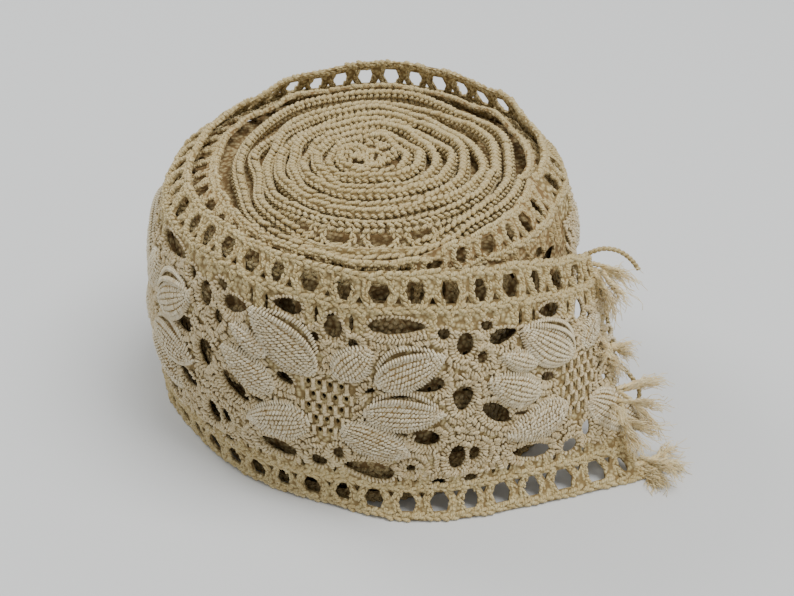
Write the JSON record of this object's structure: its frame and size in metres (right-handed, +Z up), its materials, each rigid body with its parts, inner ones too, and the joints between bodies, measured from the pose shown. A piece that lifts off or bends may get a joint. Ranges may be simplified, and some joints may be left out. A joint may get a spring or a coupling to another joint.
{
  "type": "roll of lace trim",
  "caption": "Wound roll of crochet lace trim standing on its side edge, leafy flowers between openwork ladder edges, with its frayed loose end turned out to one side.",
  "frame": {"origin": "on the surface that the roll stands on, under the middle of the winding", "axes": "+Z up along the roll's axis, +X towards the side where the loose end lies, -Y towards the viewer of the picture"},
  "size_m": [0.0973, 0.0824, 0.0515],
  "materials": {
    "ecru_cotton": "matte crocheted cotton",
    "silky_thread": "soft sheen of mercerised thread",
    "frayed_cotton": "loose fuzzy fibres"
  },
  "bodies": {
    "root": {"wound_core": "ecru_cotton", "outer_turn": "ecru_cotton", "fray_top": "frayed_cotton", "fray_middle": "frayed_cotton", "fray_lower": "frayed_cotton", "fray_bottom": "frayed_cotton"}
  },
  "joints": []
}
